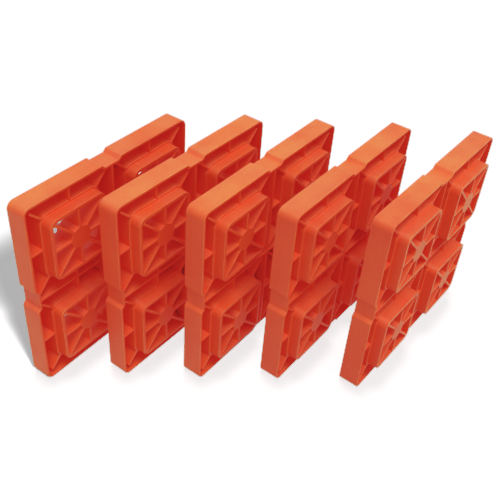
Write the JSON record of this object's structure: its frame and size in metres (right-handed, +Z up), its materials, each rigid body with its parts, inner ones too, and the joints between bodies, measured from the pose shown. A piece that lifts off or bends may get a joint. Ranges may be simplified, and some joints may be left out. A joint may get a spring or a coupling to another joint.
{
  "type": "leveling block set",
  "caption": "Square interlocking plastic blocks with four ribbed studs each, standing on edge in a staggered row. Stacked flat they raise a wheel or a jack foot.",
  "frame": {"origin": "centre of the row's box on the plane the blocks stand on", "axes": "+X along the studs of the first block, +Y along its bottom edge to its far end, +Z up"},
  "size_m": [0.2932, 0.4086, 0.216],
  "materials": {
    "orange_plastic": "satin moulded polypropylene"
  },
  "bodies": {
    "block_1": {"block_1": "orange_plastic"},
    "block_2": {"block_2": "orange_plastic"},
    "block_3": {"block_3": "orange_plastic"},
    "block_4": {"block_4": "orange_plastic"},
    "block_5": {"block_5": "orange_plastic"}
  },
  "joints": [
    {"name": "block_2_slide", "type": "slide", "parent": "block_1", "child": "block_2", "axis": [-0.4207, -0.9072, 0], "range_m": [-0.04, 0.0595]},
    {"name": "block_3_slide", "type": "slide", "parent": "block_2", "child": "block_3", "axis": [-0.553, -0.8332, 0], "range_m": [-0.04, 0.0541]},
    {"name": "block_4_slide", "type": "slide", "parent": "block_3", "child": "block_4", "axis": [-0.5377, -0.8431, 0], "range_m": [-0.04, 0.06]},
    {"name": "block_5_slide", "type": "slide", "parent": "block_4", "child": "block_5", "axis": [-0.6665, -0.7455, 0], "range_m": [-0.04, 0.0603]}
  ]
}
